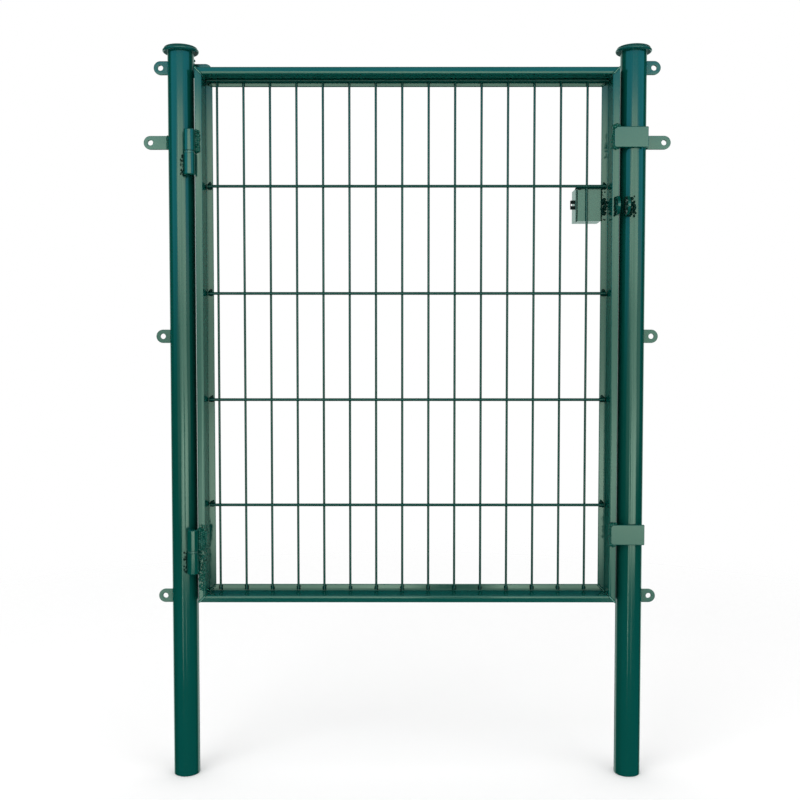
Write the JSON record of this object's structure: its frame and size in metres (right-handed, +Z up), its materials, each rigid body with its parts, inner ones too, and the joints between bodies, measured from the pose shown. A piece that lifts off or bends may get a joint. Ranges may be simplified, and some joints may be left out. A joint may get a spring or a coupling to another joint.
{
  "type": "metal garden gate",
  "caption": "Single-leaf garden gate: rebated tube frame with welded wire mesh, barrel hinges, lock case, and two round posts with caps and fence tabs.",
  "frame": {"origin": "on the hinge post's axis, in the plane of its lower end", "axes": "+Z up along the posts, +X from the hinge post to the lock post, -Y towards the side that the leaf opens to"},
  "size_m": [0.979, 0.1073, 1.366],
  "materials": {
    "green_coat": "glossy dark green powder coat on steel",
    "green_cap": "glossy dark green pressed cap",
    "black_part": "black"
  },
  "bodies": {
    "posts": {"hinge_post": "green_coat", "hinge_post_cap": "green_cap", "hinge_post_tabs": "green_coat", "hinge_post_long_tab": "green_coat", "back_stop_lug": "green_coat", "upper_post_barrel": "green_coat", "upper_hinge_ring": "green_coat", "lower_post_barrel": "green_coat", "lower_hinge_ring": "green_coat", "lock_post": "green_coat", "lock_post_cap": "green_cap", "lock_post_tabs": "green_coat", "lock_post_long_tab": "green_coat", "post_padlock_eye": "green_coat"},
    "leaf": {"hinge_stile": "green_coat", "lock_stile": "green_coat", "top_rail": "green_coat", "bottom_rail": "green_coat", "wire_mesh": "green_coat", "upper_leaf_barrel": "green_coat", "lower_leaf_barrel": "green_coat", "upper_stop_plate": "green_coat", "lower_stop_plate": "green_coat", "lock_case": "green_coat", "lock_slide_tab": "black_part", "leaf_padlock_eye": "green_coat"}
  },
  "joints": [
    {"name": "leaf_hinge", "type": "hinge", "parent": "posts", "child": "leaf", "pos_m": [0.02126, -0.03254, 0.8], "axis": [0, 0, -1], "range_deg": [0, 170]}
  ]
}
